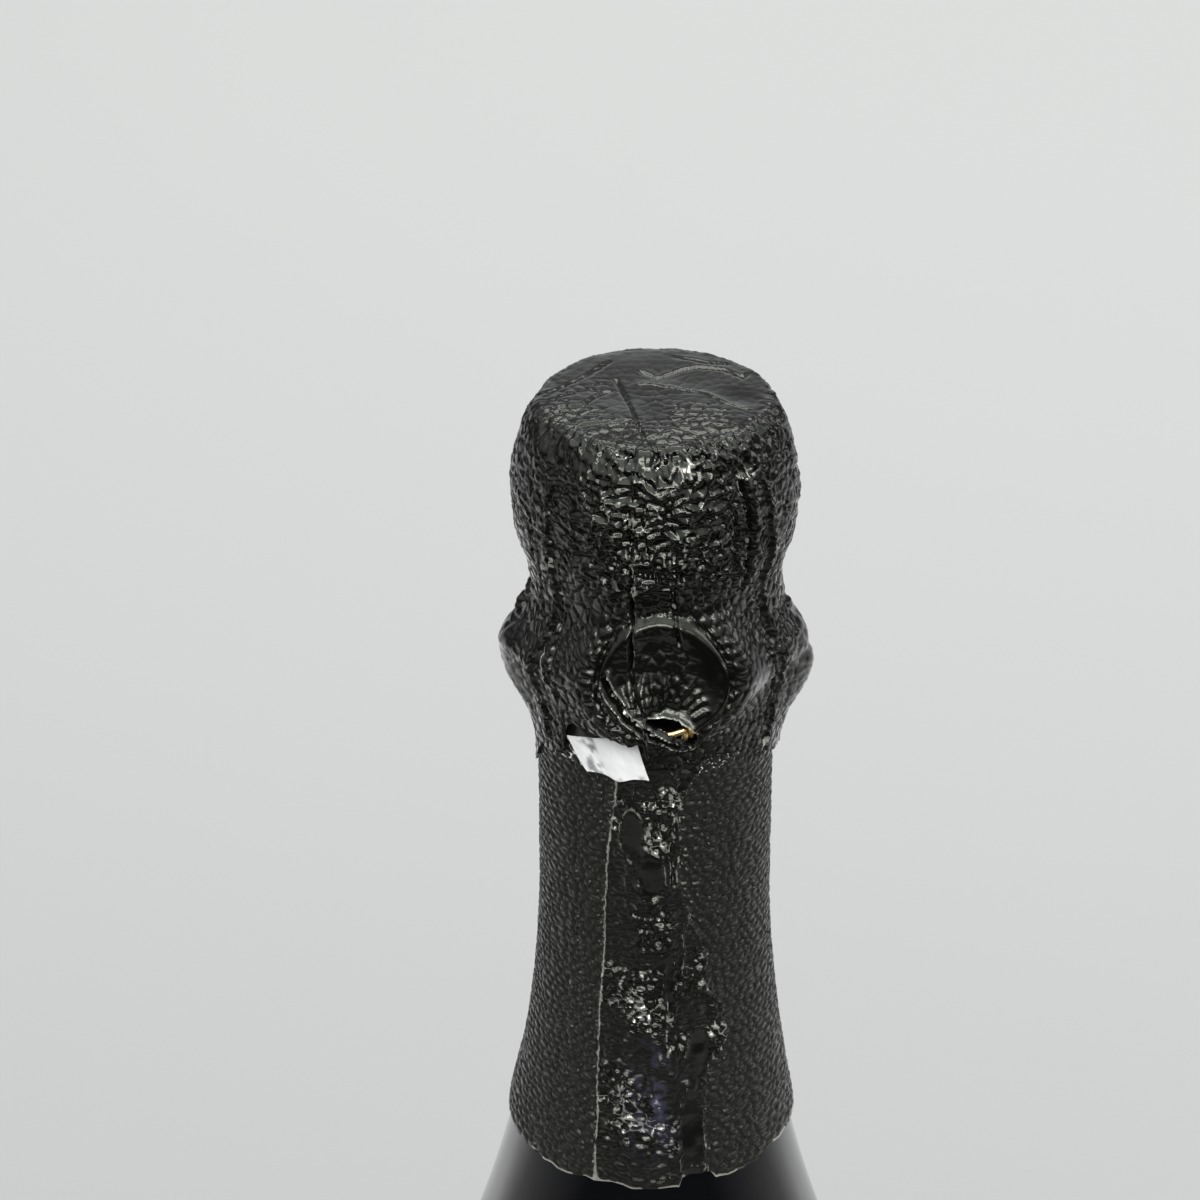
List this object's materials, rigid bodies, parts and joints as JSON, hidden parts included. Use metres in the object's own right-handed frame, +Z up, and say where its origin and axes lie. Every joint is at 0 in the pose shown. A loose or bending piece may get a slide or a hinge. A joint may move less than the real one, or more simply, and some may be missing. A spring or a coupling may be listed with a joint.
{
  "type": "champagne bottle",
  "caption": "Sealed dark glass sparkling wine bottle with a mushroom cork, wire cage, metal cap, embossed black foil hood, neck sleeve and tear tab.",
  "frame": {"origin": "centre of the bottle's foot, on the surface it stands on", "axes": "+Z up along the bottle's axis, -Y to the front, where the pull ring and the tear tab are, +X to the right"},
  "size_m": [0.088, 0.088, 0.32],
  "materials": {
    "dark_glass": "polished, near-black green",
    "cork_agglomerate": "ground cork granules, sanded",
    "cork_natural": "natural cork with pores",
    "cap_tinplate": "bare pressed tinplate",
    "cage_wire": "gold-lacquered steel wire",
    "black_foil": "black lacquer, pebble embossed, semi-gloss",
    "tear_ribbon": "white ribbon with a thin metal face"
  },
  "bodies": {
    "bottle": {"bottle_glass": "dark_glass", "foil_sleeve": "black_foil", "tear_strip": "tear_ribbon"},
    "cork": {"cork_body": "cork_agglomerate", "cork_disc_upper": "cork_natural", "cork_disc_lower": "cork_natural"},
    "cage": {"cage_plaque": "cap_tinplate", "cage_top_ring": "cage_wire", "cage_leg_front": "cage_wire", "cage_leg_right": "cage_wire", "cage_leg_back": "cage_wire", "cage_leg_left": "cage_wire", "cage_belt": "cage_wire"},
    "ring": {"pull_ring": "cage_wire"},
    "hood": {"foil_hood": "black_foil"},
    "tab": {"tear_tab": "tear_ribbon"}
  },
  "joints": [
    {"name": "cork_lift", "type": "slide", "parent": "bottle", "child": "cork", "axis": [0, 0, 1], "range_m": [0, 0.045]},
    {"name": "cage_lift", "type": "slide", "parent": "cork", "child": "cage", "axis": [0, 0, 1], "range_m": [0, 0.045], "deforming": ["cage_leg_front", "cage_leg_right", "cage_leg_back", "cage_leg_left", "cage_belt"]},
    {"name": "hood_lift", "type": "slide", "parent": "cage", "child": "hood", "axis": [0, 0, 1], "range_m": [0, 0.055], "deforming": ["foil_hood"]},
    {"name": "ring_fold", "type": "hinge", "parent": "cage", "child": "ring", "pos_m": [0.00387, -0.01839, 0.28367], "axis": [1, 0, 0], "range_deg": [0, 100]},
    {"name": "tab_peel", "type": "hinge", "parent": "bottle", "child": "tab", "pos_m": [-0.01052, -0.0109, 0.278], "axis": [0, 0, -1], "range_deg": [0, 110]}
  ]
}
